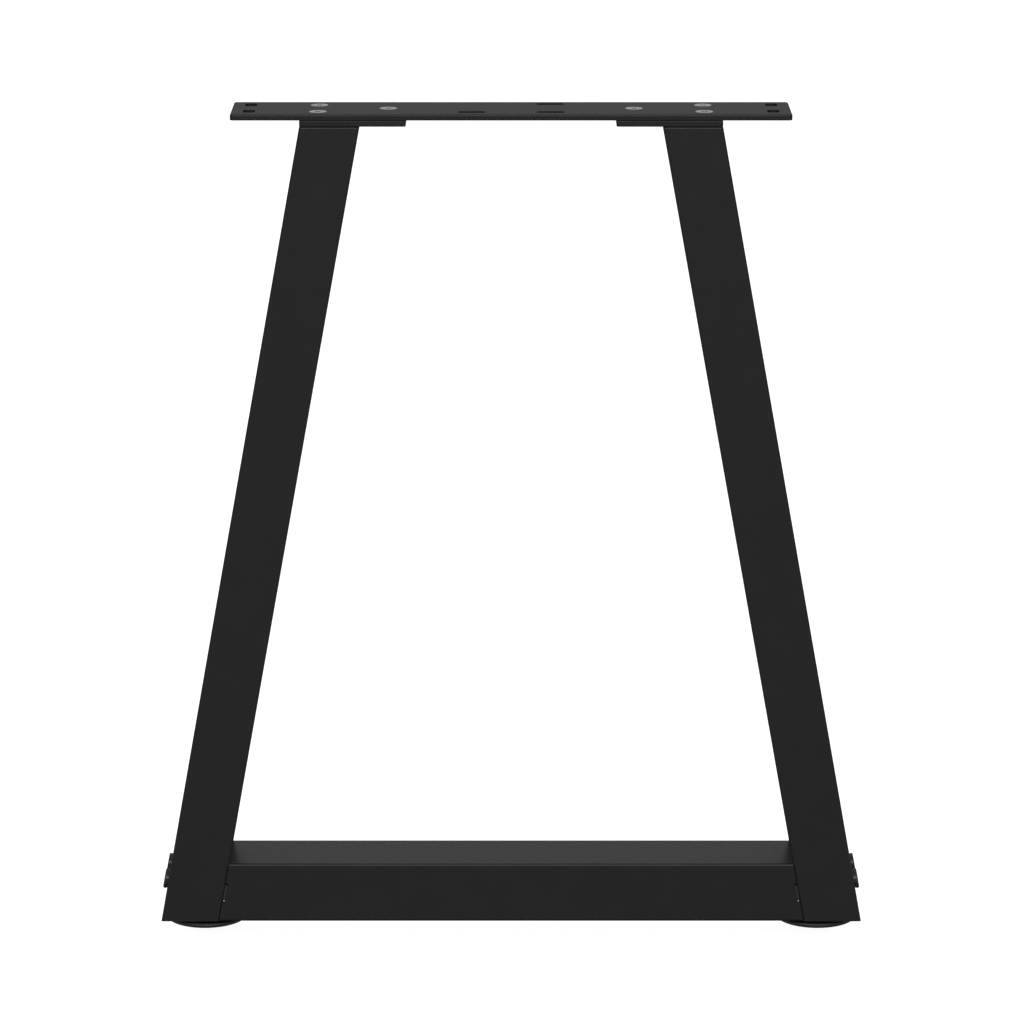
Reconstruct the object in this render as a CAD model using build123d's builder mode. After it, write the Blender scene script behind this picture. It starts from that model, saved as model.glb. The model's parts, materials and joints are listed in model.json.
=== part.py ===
"""Trapezoid coffee table leg in rectangular steel tube, with a bolted crossbar and screw-in feet.

X runs along the crossbar, Y is the depth with the front towards -Y, and Z is up. The origin is
on the floor, midway between the two feet. All sizes are in millimetres. The pieces of the
right-hand side (+X) are drawn, and those of the left-hand side are their mirror images.
"""
from build123d import *
from math import atan2, cos, radians, sin, tan
import os

# Whole frame
overall_height = 434.0        # floor to the top of the plate
bottom_width = 370.0          # over the outer corners of the two leg bottoms
top_width = 214.5             # over the outer corners of the two leg tops

# Rectangular tube of the legs and the crossbar
tube_width = 30.0             # the side that faces the front
tube_depth = 40.0             # front to rear
bar_height = 32.0             # the crossbar's tube is a little taller than the legs' is wide
tube_wall = 1.5
tube_corner = 1.25            # outer corner radius
tube_inside_corner = 0.5
tube_top_round = 1.0          # rounded edge under the flange
top_round_share = 0.98        # of the room that the tube's corner leaves for that rounding

# Top plate
plate_length = 284.5
plate_depth = 40.0
plate_thickness = 3.2
plate_corner = 1.8            # corner radius in plan
plate_top_round = 0.9         # rounding of the upper edge
plate_under_round = 0.4       # rounding of the lower edge

# Slots and end holes that take the screws into the table top
slot_length = 14.5
slot_width = 5.0
slot_spacing = 40.0           # between the centres of the front pair
slot_margin = 7.4             # slot centre to the plate's long edge
end_hole_length = 6.0         # along the plate
end_hole_depth = 8.4          # across the plate
end_hole_corner = 1.5
end_hole_inset = 9.3          # hole centre to the plate's end
end_hole_margin = 9.9         # hole centre to the plate's long edge

# Flange welded on top of each leg
flange_length = 54.0
flange_depth = 40.0
flange_thickness = 3.2
flange_corner = 1.0
flange_edge_round = 0.5

# Countersunk screws that hold the plate on the flanges
screw_radius = 2.5
screw_length = 8.0            # with the head
screw_head_radius = 4.5
screw_head_rim = 0.25         # straight rim above the cone
screw_socket_width = 3.0      # across the flats
screw_socket_depth = 1.7
screw_tip_chamfer = 0.5
screw_inset = 9.25            # screw axis to either end of the flange
screw_margin = 9.8            # axis of an outer screw to the flange's long edge
sink_radius = 4.85            # mouth of the countersink
screw_hole_gap = 0.25         # around the screw in the plate
thread_gap = 0.05             # around a screw or bolt in its thread
cone_gap = 0.02               # between the head's cone and the countersink

# Crossbar ends and their bolts
end_plate_thickness = 1.5
end_plate_gap = 0.1           # around the end plate inside the tube
tab_height = 8.4              # locating tab at the front and rear of the end plate
tab_gap = 0.15                # around a tab in its notch
tab_setback = 0.5             # from the tube's face to the tab's end
relief_radius = 0.7           # round relief at either end of a notch
relief_offset = 0.4           # relief centre beyond the notch's end
bolt_spacing = 25.0           # between the two bolts of a leg
bolt_radius = 2.5
bolt_length = 40.0            # under the head
bolt_head_radius = 5.3
bolt_head_height = 1.7
bolt_head_round = 0.7
bolt_socket_width = 3.0       # across the flats
bolt_socket_depth = 1.2
bolt_tip_chamfer = 0.5
bolt_hole_gap = 0.25          # around the bolt in the leg and the end plate
washer_radius = 5.0
washer_thickness = 0.6
bar_nut_width = 8.0           # across the flats
bar_nut_height = 4.0

# Levelling feet
pad_radius = 21.5
pad_thickness = 2.4           # at the rim
pad_top_round = 1.1
pad_under_chamfer = 0.4
hub_radius = 5.5
hub_height = 3.0              # above the pad's upper face
leg_pad_gap = 0.9             # between the leg and the pad when the foot is screwed home
stem_radius = 3.0
stem_length = 25.0            # above the hub
stem_tip_chamfer = 0.6
stem_head_radius = 4.4        # head moulded into the hub
stem_head_height = 2.0
stem_head_cover = 1.2         # plastic under the head
stem_thread_gap = 0.1         # around the stem in its thread
foot_plate_thickness = 2.5
foot_plate_gap = 0.1          # around the plate inside the tube
hub_plate_gap = 0.7           # between the hub and the plate when the foot is screwed home
foot_nut_width = 10.0         # across the flats
foot_nut_height = 5.0
foot_wall_gap = 0.25          # between the hub or nut and the leg's inner face

# Levels and places that follow from the sizes above
leg_bottom = pad_thickness + leg_pad_gap
plate_underside = overall_height - plate_thickness
leg_top = plate_underside - flange_thickness
lean = atan2((bottom_width - top_width) / 2, leg_top - leg_bottom)
top_round_room = tube_corner * cos(lean) * tan((radians(90) - lean) / 2)
leg_top_round = min(tube_top_round, top_round_share * top_round_room)
tube_inside_width = tube_width - 2 * tube_wall
tube_inside_depth = tube_depth - 2 * tube_wall
bar_inside_height = bar_height - 2 * tube_wall
bar_middle = leg_bottom + bar_height / 2


def leg_outer_x(z):
    """Returns the X of the right leg's outer face at height z."""
    return bottom_width / 2 - (z - leg_bottom) * tan(lean)


# Planes of the right leg: across its axis, on its inner face and on its outer face
leg_up = Vector(-sin(lean), 0, cos(lean))
leg_outward = Vector(cos(lean), 0, sin(lean))
half_width_level = tube_width / 2 / cos(lean)
section_height = (leg_bottom + leg_top) / 2
section_centre = Vector(leg_outer_x(section_height) - half_width_level, 0, section_height)
leg_section = Plane(origin=section_centre, x_dir=leg_outward, z_dir=leg_up)
joint_centre = Vector(leg_outer_x(bar_middle) - 2 * half_width_level, 0, bar_middle)
inner_face = Plane(origin=joint_centre, x_dir=(0, 1, 0), z_dir=leg_outward)
outer_face = inner_face.offset(tube_width)
tube_reach = overall_height   # long enough to be cut back at both ends

# Places of the holes and fasteners
slot_row = plate_depth / 2 - slot_margin
slot_spots = [
    (-slot_spacing / 2, -slot_row),
    (slot_spacing / 2, -slot_row),
    (slot_spacing / 2, slot_row),
]
end_hole_x = plate_length / 2 - end_hole_inset
end_hole_y = plate_depth / 2 - end_hole_margin
flange_centre_x = top_width / 2 - flange_length / 2
screw_outer_x = top_width / 2 - screw_inset
screw_inner_x = top_width / 2 - flange_length + screw_inset
screw_row = flange_depth / 2 - screw_margin
screw_spots = [(screw_outer_x, screw_row), (screw_outer_x, -screw_row), (screw_inner_x, 0)]
bolt_spots = [(bolt_spacing / 2, 0), (-bolt_spacing / 2, 0)]
foot_nut_corner = foot_nut_width / 2 / cos(radians(30))
leg_inside_x = leg_outer_x(leg_bottom) - (tube_width - tube_wall) / cos(lean)
foot_x = leg_inside_x + max(hub_radius, foot_nut_corner) + foot_wall_gap
hub_top = pad_thickness + hub_height
foot_plate_underside = hub_top + hub_plate_gap
foot_nut_underside = foot_plate_underside + foot_plate_thickness


def write(piece, name):
    """Labels a finished piece and writes it under its own name."""
    piece.label = name
    export_step(piece, f"parts/{name}.step")


def write_pair(piece, name):
    """Writes a right-hand piece and its mirror image."""
    write(piece, f"{name}_right")
    with BuildPart() as twin:
        mirror(piece, about=Plane.YZ)
    write(twin.part, f"{name}_left")


os.makedirs("parts", exist_ok=True)

# Top plate with its countersinks, slots and end holes
with BuildPart() as top_plate:
    with BuildSketch(Plane.XY.offset(plate_underside)):
        RectangleRounded(plate_length, plate_depth, plate_corner)
    extrude(amount=plate_thickness)
    fillet(top_plate.faces().sort_by(Axis.Z)[-1].edges(), plate_top_round)
    fillet(top_plate.faces().sort_by(Axis.Z)[0].edges(), plate_under_round)
    with BuildSketch(Plane.XY.offset(plate_underside)):
        with Locations(*slot_spots):
            SlotOverall(slot_length, slot_width)
        with GridLocations(2 * end_hole_x, 2 * end_hole_y, 2, 2):
            RectangleRounded(end_hole_length, end_hole_depth, end_hole_corner)
    extrude(amount=plate_thickness, mode=Mode.SUBTRACT)
    with Locations(*[(side * x, y, overall_height) for side in (1, -1) for x, y in screw_spots]):
        CounterSinkHole(screw_radius + screw_hole_gap, sink_radius, counter_sink_angle=90)
write(top_plate.part, "top_plate")

# Flange on top of the leg, tapped for the three plate screws
with BuildPart() as leg_flange:
    with BuildSketch(Plane.XY.offset(leg_top)):
        with Locations((flange_centre_x, 0)):
            RectangleRounded(flange_length, flange_depth, flange_corner)
    extrude(amount=flange_thickness)
    fillet(leg_flange.edges().group_by(Axis.Z)[-1], flange_edge_round)
    fillet(leg_flange.edges().group_by(Axis.Z)[0], flange_edge_round)
    with BuildSketch(Plane.XY.offset(leg_top)):
        with Locations(*screw_spots):
            Circle(screw_radius + thread_gap)
    extrude(amount=flange_thickness, mode=Mode.SUBTRACT)
write_pair(leg_flange.part, "leg_flange")

# One countersunk plate screw, drawn with its axis on Z and its head's face at the origin
screw_cone_height = screw_head_radius - screw_radius
with BuildPart() as plate_screw:
    with BuildSketch(Plane.XZ):
        with BuildLine():
            Polyline(
                (0, 0),
                (screw_head_radius, 0),
                (screw_head_radius, -screw_head_rim),
                (screw_radius, -screw_head_rim - screw_cone_height),
                (screw_radius, -screw_length + screw_tip_chamfer),
                (screw_radius - screw_tip_chamfer, -screw_length),
                (0, -screw_length),
                close=True,
            )
        make_face()
    revolve(axis=Axis.Z)
    with BuildSketch(Plane.XY):
        RegularPolygon(screw_socket_width / 2, 6, major_radius=False)
    extrude(amount=-screw_socket_depth, mode=Mode.SUBTRACT)

# The three screws of one flange, seated on the cones of the plate
screw_drop = sink_radius - screw_head_radius - screw_head_rim - cone_gap
with BuildPart() as plate_screws:
    with Locations(*[(x, y, overall_height - screw_drop) for x, y in screw_spots]):
        add(plate_screw.part)
write_pair(plate_screws.part, "plate_screws")

# Leg tube, cut level at both ends and drilled for the crossbar bolts
with BuildPart() as leg_tube:
    with BuildSketch(leg_section):
        RectangleRounded(tube_width, tube_depth, tube_corner)
        RectangleRounded(tube_inside_width, tube_inside_depth, tube_inside_corner, mode=Mode.SUBTRACT)
    extrude(amount=tube_reach, both=True)
    split(bisect_by=Plane.XY.offset(leg_bottom), keep=Keep.TOP)
    split(bisect_by=Plane.XY.offset(leg_top), keep=Keep.BOTTOM)
    fillet(leg_tube.faces().sort_by(Axis.Z)[-1].outer_wire().edges(), leg_top_round)
    with BuildSketch(inner_face):
        with Locations(*bolt_spots):
            Circle(bolt_radius + bolt_hole_gap)
    extrude(amount=tube_width, mode=Mode.SUBTRACT)
write_pair(leg_tube.part, "leg_tube")

# Planes of the crossbar's left end, and of both ends seen from the front
left_outward = Vector(-leg_outward.X, 0, leg_outward.Z)
left_joint_centre = Vector(-joint_centre.X, 0, joint_centre.Z)
left_inner_face = Plane(origin=left_joint_centre, x_dir=(0, -1, 0), z_dir=left_outward)
joint_side = Plane(origin=joint_centre, x_dir=leg_outward, z_dir=(0, -1, 0))
left_joint_side = Plane(origin=left_joint_centre, x_dir=left_outward, z_dir=(0, 1, 0))

# Crossbar tube, mitred to the legs and notched for the tabs of its end plates
notch_height = tab_height + 2 * tab_gap
relief_height = notch_height / 2 + relief_offset
relief_spots = [(-end_plate_thickness / 2, relief_height), (-end_plate_thickness / 2, -relief_height)]
with BuildPart() as crossbar_tube:
    with BuildSketch(Plane.YZ):
        with Locations((0, bar_middle)):
            RectangleRounded(tube_depth, bar_height, tube_corner)
            RectangleRounded(tube_inside_depth, bar_inside_height, tube_inside_corner, mode=Mode.SUBTRACT)
    extrude(amount=bottom_width, both=True)
    for mitre in (inner_face, left_inner_face):
        split(bisect_by=mitre, keep=Keep.BOTTOM)
    for side in (joint_side, left_joint_side):
        with BuildSketch(side):
            Rectangle(2 * (end_plate_thickness + tab_gap), notch_height)
            with Locations(*relief_spots):
                Circle(relief_radius)
        extrude(amount=tube_depth, both=True, mode=Mode.SUBTRACT)
write(crossbar_tube.part, "crossbar_tube")

# End plate inside the crossbar, with a tab in the front and rear notch
end_plate_height = bar_inside_height - 2 * end_plate_gap
end_plate_depth = tube_inside_depth - 2 * end_plate_gap
with BuildPart() as crossbar_end_plate:
    with BuildSketch(Plane.YZ):
        with Locations((0, bar_middle)):
            RectangleRounded(end_plate_depth, end_plate_height, tube_inside_corner)
    extrude(amount=bottom_width)
    split(bisect_by=inner_face, keep=Keep.BOTTOM)
    split(bisect_by=inner_face.offset(-end_plate_thickness), keep=Keep.TOP)
    with BuildSketch(inner_face):
        Rectangle(tube_depth - 2 * tab_setback, tab_height)
    extrude(amount=-end_plate_thickness)
    with BuildSketch(inner_face):
        with Locations(*bolt_spots):
            Circle(bolt_radius + bolt_hole_gap)
    extrude(amount=-end_plate_thickness, mode=Mode.SUBTRACT)
write_pair(crossbar_end_plate.part, "crossbar_end_plate")

# Weld nuts behind the end plate
with BuildPart() as crossbar_nuts:
    with BuildSketch(inner_face.offset(-end_plate_thickness)):
        with Locations(*bolt_spots):
            RegularPolygon(bar_nut_width / 2, 6, major_radius=False, rotation=30)
            Circle(bolt_radius + thread_gap, mode=Mode.SUBTRACT)
    extrude(amount=-bar_nut_height)
write_pair(crossbar_nuts.part, "crossbar_nuts")

# Washers under the bolt heads
with BuildPart() as crossbar_washers:
    with BuildSketch(outer_face):
        with Locations(*bolt_spots):
            Circle(washer_radius)
            Circle(bolt_radius + bolt_hole_gap, mode=Mode.SUBTRACT)
    extrude(amount=washer_thickness)
write_pair(crossbar_washers.part, "crossbar_washers")

# One crossbar bolt, drawn with its axis on Z and the underside of its head at the origin
with BuildPart() as crossbar_bolt:
    with BuildSketch(Plane.XZ):
        with BuildLine():
            Polyline(
                (0, bolt_head_height),
                (bolt_head_radius, bolt_head_height),
                (bolt_head_radius, 0),
                (bolt_radius, 0),
                (bolt_radius, -bolt_length + bolt_tip_chamfer),
                (bolt_radius - bolt_tip_chamfer, -bolt_length),
                (0, -bolt_length),
                close=True,
            )
        make_face()
    revolve(axis=Axis.Z)
    fillet(crossbar_bolt.edges().group_by(Axis.Z)[-1], bolt_head_round)
    with BuildSketch(Plane.XY.offset(bolt_head_height)):
        RegularPolygon(bolt_socket_width / 2, 6, major_radius=False)
    extrude(amount=-bolt_socket_depth, mode=Mode.SUBTRACT)

# The two bolts of one leg, square to its outer face
bolt_seat = outer_face.offset(washer_thickness)
with BuildPart() as crossbar_bolts:
    with Locations(bolt_seat):
        with Locations(*bolt_spots):
            add(crossbar_bolt.part)
write_pair(crossbar_bolts.part, "crossbar_bolts")

# Plate across the foot of the leg, inside the tube
foot_plate_width = tube_inside_width - 2 * foot_plate_gap
foot_plate_depth = tube_inside_depth - 2 * foot_plate_gap
with BuildPart() as foot_plate:
    with BuildSketch(leg_section):
        RectangleRounded(foot_plate_width, foot_plate_depth, tube_inside_corner)
    extrude(amount=-tube_reach)
    split(bisect_by=Plane.XY.offset(foot_plate_underside), keep=Keep.TOP)
    split(bisect_by=Plane.XY.offset(foot_nut_underside), keep=Keep.BOTTOM)
    with BuildSketch(Plane.XY.offset(foot_plate_underside)):
        with Locations((foot_x, 0)):
            Circle(stem_radius + stem_thread_gap)
    extrude(amount=foot_plate_thickness, mode=Mode.SUBTRACT)
write_pair(foot_plate.part, "foot_plate")

# Weld nut on that plate, for the foot's stem
with BuildPart() as foot_nut:
    with BuildSketch(Plane.XY.offset(foot_nut_underside)):
        with Locations((foot_x, 0)):
            RegularPolygon(foot_nut_width / 2, 6, major_radius=False)
            Circle(stem_radius + stem_thread_gap, mode=Mode.SUBTRACT)
    extrude(amount=foot_nut_height)
write_pair(foot_nut.part, "foot_nut")

# Threaded stem, with its head moulded into the hub of the pad
stem_head_top = stem_head_cover + stem_head_height
stem_top = hub_top + stem_length
foot_plane = Plane(origin=(foot_x, 0, 0), x_dir=(1, 0, 0), z_dir=(0, -1, 0))
foot_axis = Axis((foot_x, 0, 0), (0, 0, 1))
with BuildPart() as foot_stem:
    with BuildSketch(foot_plane):
        with BuildLine():
            Polyline(
                (0, stem_head_cover),
                (stem_head_radius, stem_head_cover),
                (stem_head_radius, stem_head_top),
                (stem_radius, stem_head_top),
                (stem_radius, stem_top - stem_tip_chamfer),
                (stem_radius - stem_tip_chamfer, stem_top),
                (0, stem_top),
                close=True,
            )
        make_face()
    revolve(axis=foot_axis)
write_pair(foot_stem.part, "foot_stem")

# Moulded pad with a rounded rim and a hub around the stem's head
with BuildPart() as foot_pad:
    with BuildSketch(foot_plane):
        with BuildLine():
            Polyline(
                (0, 0),
                (pad_radius - pad_under_chamfer, 0),
                (pad_radius, pad_under_chamfer),
                (pad_radius, pad_thickness - pad_top_round),
            )
            RadiusArc(
                (pad_radius, pad_thickness - pad_top_round),
                (pad_radius - pad_top_round, pad_thickness),
                -pad_top_round,
            )
            Polyline(
                (pad_radius - pad_top_round, pad_thickness),
                (hub_radius, pad_thickness),
                (hub_radius, hub_top),
                (stem_radius, hub_top),
                (stem_radius, stem_head_top),
                (stem_head_radius, stem_head_top),
                (stem_head_radius, stem_head_cover),
                (0, stem_head_cover),
                (0, 0),
            )
        make_face()
    revolve(axis=foot_axis)
write_pair(foot_pad.part, "foot_pad")
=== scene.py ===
"""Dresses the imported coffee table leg: finishes, threaded stems, tab ends, studio and camera."""

import json
import math

import bmesh
import bpy
from mathutils import Matrix, Vector


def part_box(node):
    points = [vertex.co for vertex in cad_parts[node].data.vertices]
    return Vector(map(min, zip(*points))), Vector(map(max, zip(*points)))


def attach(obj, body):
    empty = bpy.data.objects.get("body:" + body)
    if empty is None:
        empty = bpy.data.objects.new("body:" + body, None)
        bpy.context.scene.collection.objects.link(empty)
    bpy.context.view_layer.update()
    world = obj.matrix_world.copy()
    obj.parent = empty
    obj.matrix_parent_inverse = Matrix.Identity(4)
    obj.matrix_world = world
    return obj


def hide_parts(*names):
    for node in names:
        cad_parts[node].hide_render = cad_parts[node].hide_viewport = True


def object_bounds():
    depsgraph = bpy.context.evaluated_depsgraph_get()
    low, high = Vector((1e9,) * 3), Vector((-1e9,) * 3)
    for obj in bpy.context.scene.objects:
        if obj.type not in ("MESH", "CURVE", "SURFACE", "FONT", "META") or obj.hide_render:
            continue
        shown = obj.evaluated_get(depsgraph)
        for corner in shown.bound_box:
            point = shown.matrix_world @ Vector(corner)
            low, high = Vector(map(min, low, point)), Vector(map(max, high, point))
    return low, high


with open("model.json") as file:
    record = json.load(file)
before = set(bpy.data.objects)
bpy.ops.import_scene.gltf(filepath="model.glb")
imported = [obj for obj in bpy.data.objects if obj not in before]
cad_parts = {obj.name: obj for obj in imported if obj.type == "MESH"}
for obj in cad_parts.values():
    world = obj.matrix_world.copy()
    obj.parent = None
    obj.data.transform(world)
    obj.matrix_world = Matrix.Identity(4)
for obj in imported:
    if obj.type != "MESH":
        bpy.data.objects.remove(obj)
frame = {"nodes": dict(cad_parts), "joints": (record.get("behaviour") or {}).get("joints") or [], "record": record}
cad_low, cad_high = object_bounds()

# Camera, fitted to the photograph's outline
camera_target = Vector((0.00044, 0.0, 0.22163))
camera_distance = 2.3444
camera_pitch = math.radians(14.363)
camera_lens = 158.2           # in millimetres, like the sensor's width
sensor_width = 36.0
camera_reach = 100.0          # past the far edge of the floor

# Surfaces
noise_low = 0.3               # a noise texture's values lie mostly between these two
noise_high = 0.7
recess_reach = 0.002          # walls nearer than this darken the zinc's colour, as painted shade
recess_closed = 0.5           # openness below which a recess is darkest
recess_open = 0.95            # openness above which nothing is darkened
painted_recess_shade = 0.12           # share of its colour that the darkest recess keeps under the painted shade

# Threaded stems of the feet
thread_pitch = 0.001
thread_radius = 0.003
thread_depth = 0.00054
thread_crest = 0.2            # share of the pitch that is flat at the crest
stem_shoulder = 0.0042        # height that the moulded hub covers, above the stem's lowest point
stem_head_height = 0.002
stem_tip_chamfer = 0.0006
rings_per_turn = 12
stem_segments = 40

# Ends of the crossbar's locating tabs
leg_lean = math.radians(10.384)
tab_end_height = 0.00475      # from a tab's middle to the round reliefs at its ends, along the leg
weld_dot_radius = 0.00055
weld_dot_sink = 0.0003        # from the tube's face to the dot's centre
tab_hole_radius = 0.00069
tab_hole_sink = 0.0002        # from the tube's face to the near-black disc of painted shade inside the hole
tab_hole_depth = 0.0004
dot_segments = 16

# Studio
floor_size = 60.0
floor_glow = 0.92
light_aim = Vector((0.0, 0.0, 0.2))
overhead_place = Vector((0.0, 0.0, 3.6))
overhead_size = 5.0
overhead_power = 30.0
panel_place = Vector((0.0, -3.6, 1.9))
panel_width = 5.0
panel_height = 1.4
panel_power = 55.0
surround_steps = [            # sine of the height angle, brightness of the surround there
    (-0.72, 0.0),
    (-0.45, 0.28),
    (0.0, 0.25),
    (0.02, 0.05),
    (0.17, 0.10),
    (0.33, 0.42),
    (0.6, 0.47),
]


def new_material(name):
    """Returns a new node material with its tree and its Principled shader."""
    material = bpy.data.materials.new(name)
    material.use_nodes = True
    tree = material.node_tree
    return material, tree, tree.nodes["Principled BSDF"]


def noise(tree, scale, detail=2.0):
    """Adds a noise texture in the object's own metres and returns its factor socket."""
    place = tree.nodes.new("ShaderNodeTexCoord")
    texture = tree.nodes.new("ShaderNodeTexNoise")
    texture.inputs["Scale"].default_value = scale
    texture.inputs["Detail"].default_value = detail
    tree.links.new(place.outputs["Object"], texture.inputs["Vector"])
    return texture.outputs["Fac"]


def between(tree, factor, low, high):
    """Maps a noise factor onto a range of values and returns the value socket."""
    mapping = tree.nodes.new("ShaderNodeMapRange")
    mapping.inputs["From Min"].default_value = noise_low
    mapping.inputs["From Max"].default_value = noise_high
    mapping.inputs["To Min"].default_value = low
    mapping.inputs["To Max"].default_value = high
    tree.links.new(factor, mapping.inputs["Value"])
    return mapping.outputs["Result"]


def blend_colours(tree, factor, first, second):
    """Blends two colours by a noise factor and returns the colour socket."""
    ramp = tree.nodes.new("ShaderNodeValToRGB")
    ramp.color_ramp.elements[0].position = noise_low
    ramp.color_ramp.elements[0].color = (*first, 1.0)
    ramp.color_ramp.elements[1].position = noise_high
    ramp.color_ramp.elements[1].color = (*second, 1.0)
    tree.links.new(factor, ramp.inputs["Fac"])
    return ramp.outputs["Color"]


def bump(tree, shader, height, strength, distance):
    """Feeds a height into the shader's normal."""
    node = tree.nodes.new("ShaderNodeBump")
    node.inputs["Strength"].default_value = strength
    node.inputs["Distance"].default_value = distance
    tree.links.new(height, node.inputs["Height"])
    tree.links.new(node.outputs["Normal"], shader.inputs["Normal"])


def paint_recess_shade(tree, colour):
    """Paints shade into a colour inside narrow recesses and returns the colour socket."""
    recess = tree.nodes.new("ShaderNodeAmbientOcclusion")
    recess.inputs["Distance"].default_value = recess_reach
    shade = tree.nodes.new("ShaderNodeValToRGB")
    shade.color_ramp.elements[0].position = recess_closed
    shade.color_ramp.elements[0].color = (painted_recess_shade, painted_recess_shade, painted_recess_shade, 1.0)
    shade.color_ramp.elements[1].position = recess_open
    product = tree.nodes.new("ShaderNodeVectorMath")
    product.operation = "MULTIPLY"
    tree.links.new(recess.outputs["AO"], shade.inputs["Fac"])
    tree.links.new(colour, product.inputs[0])
    tree.links.new(shade.outputs["Color"], product.inputs[1])
    return product.outputs["Vector"]


def powder_coat():
    """Satin black powder coat: a fine even grain, a little uneven in tone and gloss."""
    material, tree, shader = new_material("powder_coat_black")
    mottle = noise(tree, scale=55.0, detail=4.0)
    colour = blend_colours(tree, mottle, (0.0062, 0.0062, 0.0061), (0.0076, 0.0076, 0.0075))
    tree.links.new(colour, shader.inputs["Base Color"])
    gloss = noise(tree, scale=700.0, detail=3.0)
    tree.links.new(between(tree, gloss, low=0.30, high=0.38), shader.inputs["Roughness"])
    grain = noise(tree, scale=2600.0)
    bump(tree, shader, grain, strength=0.25, distance=0.00003)
    return material


def zinc_steel():
    """Bright zinc plate, with fine turned streaks, a faint bloom and painted shade in its recesses."""
    material, tree, shader = new_material("zinc_bright")
    shader.inputs["Metallic"].default_value = 1.0
    bloom = noise(tree, scale=900.0, detail=4.0)
    colour = blend_colours(tree, bloom, (0.76, 0.76, 0.77), (0.88, 0.88, 0.89))
    # the zinc's colour gets painted shade where recess walls close in
    tree.links.new(paint_recess_shade(tree, colour), shader.inputs["Base Color"])
    tree.links.new(between(tree, bloom, low=0.36, high=0.48), shader.inputs["Roughness"])
    streak = noise(tree, scale=4000.0, detail=1.0)
    bump(tree, shader, streak, strength=0.15, distance=0.00001)
    return material


def black_steel():
    """Black oxide on steel, darker and glossier than the coat around it."""
    material, tree, shader = new_material("oxide_black")
    shader.inputs["Metallic"].default_value = 0.75
    bloom = noise(tree, scale=1200.0, detail=3.0)
    colour = blend_colours(tree, bloom, (0.045, 0.045, 0.046), (0.062, 0.062, 0.064))
    tree.links.new(colour, shader.inputs["Base Color"])
    tree.links.new(between(tree, bloom, low=0.20, high=0.32), shader.inputs["Roughness"])
    grain = noise(tree, scale=3500.0, detail=1.0)
    bump(tree, shader, grain, strength=0.15, distance=0.00001)
    return material


def foot_plastic():
    """Moulded black plastic with a fine spark-eroded grain."""
    material, tree, shader = new_material("moulded_black")
    mottle = noise(tree, scale=150.0, detail=3.0)
    colour = blend_colours(tree, mottle, (0.008, 0.008, 0.008), (0.0105, 0.0105, 0.0105))
    tree.links.new(colour, shader.inputs["Base Color"])
    gloss = noise(tree, scale=1500.0)
    tree.links.new(between(tree, gloss, low=0.26, high=0.35), shader.inputs["Roughness"])
    grain = noise(tree, scale=3200.0)
    bump(tree, shader, grain, strength=0.35, distance=0.00003)
    return material


def painted_hole_shade():
    """Near-black painted shade for the unlit inside of the tube, seen through a small hole."""
    material, tree, shader = new_material("painted_hole_shade")
    shade = noise(tree, scale=900.0)
    colour = blend_colours(tree, shade, (0.002, 0.002, 0.002), (0.004, 0.004, 0.004))
    tree.links.new(colour, shader.inputs["Base Color"])
    shader.inputs["Roughness"].default_value = 0.9
    shader.inputs["Specular IOR Level"].default_value = 0.0
    return material


def dress_nodes(finishes):
    """Gives every CAD node the finish of its slot in the record."""
    slot_of = {row["node"]: row["material_slot"] for row in frame["record"]["subparts"]}
    for name, node in frame["nodes"].items():
        finish = finishes[slot_of[name]]
        if not node.material_slots:
            node.data.materials.append(finish)
        for place in node.material_slots:
            place.material = finish


def add_piece(name, mesh, finish):
    """Turns a finished mesh into a piece of the scene and returns it."""
    data = bpy.data.meshes.new(name)
    mesh.to_mesh(data)
    mesh.free()
    data.materials.append(finish)
    piece = bpy.data.objects.new(name, data)
    bpy.context.scene.collection.objects.link(piece)
    return piece


def thread_height(turn):
    """Returns the thread's height, 0 at the root and 1 at the crest, at a share of its pitch."""
    from_crest = abs(turn % 1.0 - 0.5)
    return min(1.0, max(0.0, (0.5 - from_crest) / (0.5 - thread_crest / 2)))


def stem_radius(height, angle, top):
    """Returns the threaded stem's radius at a height and angle, with its tip chamfered."""
    turn = height / thread_pitch - angle / math.tau
    radius = thread_radius - thread_depth * (1.0 - thread_height(turn))
    return min(radius, thread_radius - stem_tip_chamfer + (top - height))


def stem_levels(low, high):
    """Lists the stem's rings by height, with their radius, or None where the thread gives it."""
    head_radius = (high.x - low.x) / 2
    head_top = low.z + stem_head_height
    thread_start = low.z + stem_shoulder
    thread_length = high.z - thread_start
    rows = math.ceil(thread_length / thread_pitch * rings_per_turn)
    levels = [(low.z, head_radius), (head_top, head_radius), (head_top, thread_radius)]
    levels.append((thread_start, thread_radius))
    for i in range(1, rows + 1):
        levels.append((thread_start + thread_length * i / rows, None))
    return levels


def threaded_stem(node, body, finish):
    """Replaces a plain stem by one with a real thread, from its hub to its tip."""
    low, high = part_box(node)
    centre = (low + high) / 2
    mesh = bmesh.new()
    rings = []
    for height, plain_radius in stem_levels(low, high):
        ring = []
        for i in range(stem_segments):
            angle = math.tau * i / stem_segments
            radius = plain_radius or stem_radius(height, angle, high.z)
            x = centre.x + radius * math.cos(angle)
            y = centre.y + radius * math.sin(angle)
            ring.append(mesh.verts.new((x, y, height)))
        rings.append(ring)
    for lower, upper in zip(rings, rings[1:]):
        for i in range(stem_segments):
            j = (i + 1) % stem_segments
            mesh.faces.new((lower[i], lower[j], upper[j], upper[i]))
    mesh.faces.new(list(reversed(rings[0])))
    mesh.faces.new(rings[-1])
    piece = add_piece(node + "_thread", mesh, finish)
    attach(piece, body)
    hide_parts(node)


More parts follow.
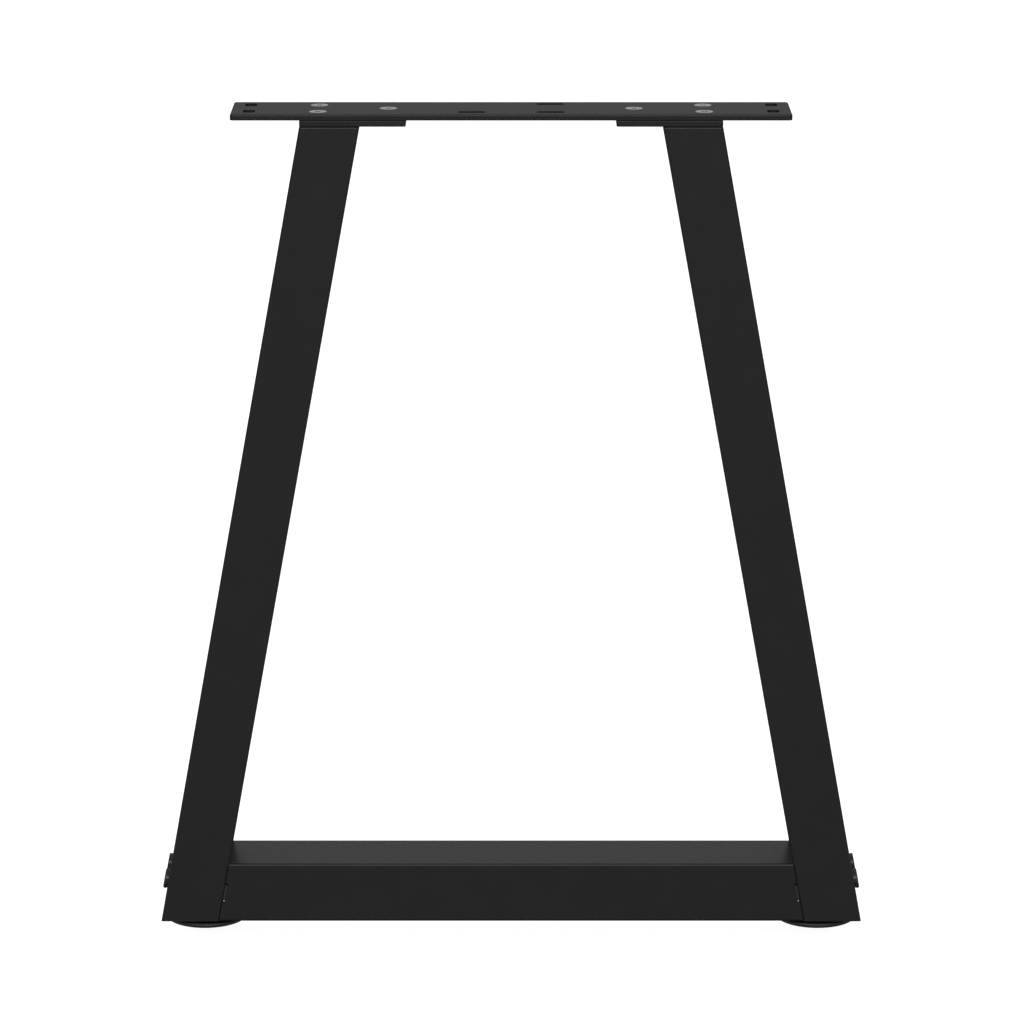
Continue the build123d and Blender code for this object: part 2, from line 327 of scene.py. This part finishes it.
def weld_dot(name, place, finish):
    """Sets a bare round dot of metal at a place on the frame."""
    mesh = bmesh.new()
    bmesh.ops.create_uvsphere(
        mesh,
        u_segments=dot_segments,
        v_segments=dot_segments // 2,
        radius=weld_dot_radius,
        matrix=Matrix.Translation(place),
    )
    for face in mesh.faces:
        face.smooth = True
    piece = add_piece(name, mesh, finish)
    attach(piece, "frame")


def tab_hole_shade_disc(name, place, finish):
    """Sets a near-black disc of painted shade at a place on the frame, for the dark inside of a small round hole.
    """
    mesh = bmesh.new()
    bmesh.ops.create_cone(
        mesh,
        cap_ends=True,
        segments=dot_segments,
        radius1=tab_hole_radius,
        radius2=tab_hole_radius,
        depth=tab_hole_depth,
        matrix=Matrix.Translation(place) @ Matrix.Rotation(math.pi / 2, 4, "X"),
    )
    piece = add_piece(name, mesh, finish)
    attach(piece, "frame")


def tab_ends(side, metal, shade):
    """Puts a bare weld dot under each tab of one crossbar end, and a near-black disc of painted shade above it,
    for a dark hole.
    """
    low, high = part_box("crossbar_end_plate_" + side)
    middle = (low + high) / 2
    along = Vector((-math.copysign(math.sin(leg_lean), middle.x), 0.0, math.cos(leg_lean)))
    tube_low, tube_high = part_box("crossbar_tube")
    for face, depth, inward in (("front", tube_low.y, 1), ("rear", tube_high.y, -1)):
        dot = middle - along * tab_end_height
        dot.y = depth + inward * weld_dot_sink
        weld_dot(f"weld_dot_{side}_{face}", dot, metal)
        # a near-black disc of painted shade stands for the hole's dark inside
        hole = middle + along * tab_end_height
        hole.y = depth + inward * (tab_hole_sink + tab_hole_depth / 2)
        tab_hole_shade_disc(f"tab_hole_shade_disc_{side}_{face}", hole, shade)


def floor_plane():
    """Lays a softly glowing white floor where the feet end when they are screwed right out."""
    material, tree, shader = new_material("studio_floor")
    tint = noise(tree, scale=0.4)
    colour = blend_colours(tree, tint, (0.50, 0.50, 0.50), (0.52, 0.52, 0.52))
    tree.links.new(colour, shader.inputs["Base Color"])
    shader.inputs["Roughness"].default_value = 0.9
    shader.inputs["Specular IOR Level"].default_value = 0.1
    shader.inputs["Emission Color"].default_value = (1.0, 1.0, 1.0, 1.0)
    shader.inputs["Emission Strength"].default_value = floor_glow
    foot_travel = max(joint["range_m"][1] for joint in frame["joints"])
    bpy.ops.mesh.primitive_plane_add(size=floor_size, location=(0, 0, cad_low.z - foot_travel))
    floor = bpy.context.object
    floor.name = "studio_floor"
    floor.data.materials.append(material)
    floor.visible_glossy = False


def softbox(name, place, width, height, power, mirrored):
    """Hangs a rectangular soft light that faces the part and may show in glossy surfaces."""
    data = bpy.data.lights.new(name, "AREA")
    data.shape = "RECTANGLE"
    data.size = width
    data.size_y = height
    data.energy = power
    light = bpy.data.objects.new(name, data)
    light.location = place
    light.rotation_mode = "QUATERNION"
    light.rotation_quaternion = (light_aim - place).to_track_quat("-Z", "Y")
    light.visible_glossy = mirrored
    bpy.context.scene.collection.objects.link(light)


def surround():
    """Sets a grey surround: dark underneath, dim just above the horizon and lighter overhead."""
    world = bpy.data.worlds.new("studio")
    world.use_nodes = True
    tree = world.node_tree
    direction = tree.nodes.new("ShaderNodeTexCoord")
    parts = tree.nodes.new("ShaderNodeSeparateXYZ")
    height = tree.nodes.new("ShaderNodeMapRange")
    height.inputs["From Min"].default_value = -1.0
    ramp = tree.nodes.new("ShaderNodeValToRGB")
    stops = ramp.color_ramp.elements
    while len(stops) < len(surround_steps):
        stops.new(1.0)
    for stop, (sine, brightness) in zip(stops, surround_steps):
        stop.position = (1 + sine) / 2
        stop.color = (brightness, brightness, brightness, 1.0)
    tree.links.new(direction.outputs["Generated"], parts.inputs["Vector"])
    tree.links.new(parts.outputs["Z"], height.inputs["Value"])
    tree.links.new(height.outputs["Result"], ramp.inputs["Fac"])
    tree.links.new(ramp.outputs["Color"], tree.nodes["Background"].inputs["Color"])
    bpy.context.scene.world = world


def studio():
    """Hangs a large overhead softbox and a low front panel, and sets the view's colours."""
    softbox(
        "overhead", overhead_place, overhead_size, overhead_size, overhead_power, mirrored=False
    )
    softbox(
        "front_panel", panel_place, panel_width, panel_height, panel_power, mirrored=True
    )
    view = bpy.context.scene.view_settings
    view.view_transform = "Standard"
    view.look = "None"
    view.exposure = 0.0
    view.gamma = 1.0


def photo_camera():
    """Places the camera at the photograph's viewing angle."""
    data = bpy.data.cameras.new("photo_camera")
    data.lens = camera_lens
    data.sensor_width = sensor_width
    data.clip_end = camera_reach
    camera = bpy.data.objects.new("photo_camera", data)
    back = Vector((0.0, -math.cos(camera_pitch), math.sin(camera_pitch)))
    camera.location = camera_target + back * camera_distance
    camera.rotation_mode = "QUATERNION"
    camera.rotation_quaternion = (-back).to_track_quat("-Z", "Y")
    bpy.context.scene.collection.objects.link(camera)
    bpy.context.scene.camera = camera


finishes = {
    "powder_coat": powder_coat(),
    "zinc_steel": zinc_steel(),
    "black_steel": black_steel(),
    "foot_plastic": foot_plastic(),
}
dress_nodes(finishes)
# near-black finish for the painted shade inside the tab holes
hole_shade_finish = painted_hole_shade()
for side in ("left", "right"):
    threaded_stem("foot_stem_" + side, "foot_" + side, finishes["zinc_steel"])
    tab_ends(side, finishes["zinc_steel"], hole_shade_finish)
floor_plane()
surround()
studio()
photo_camera()
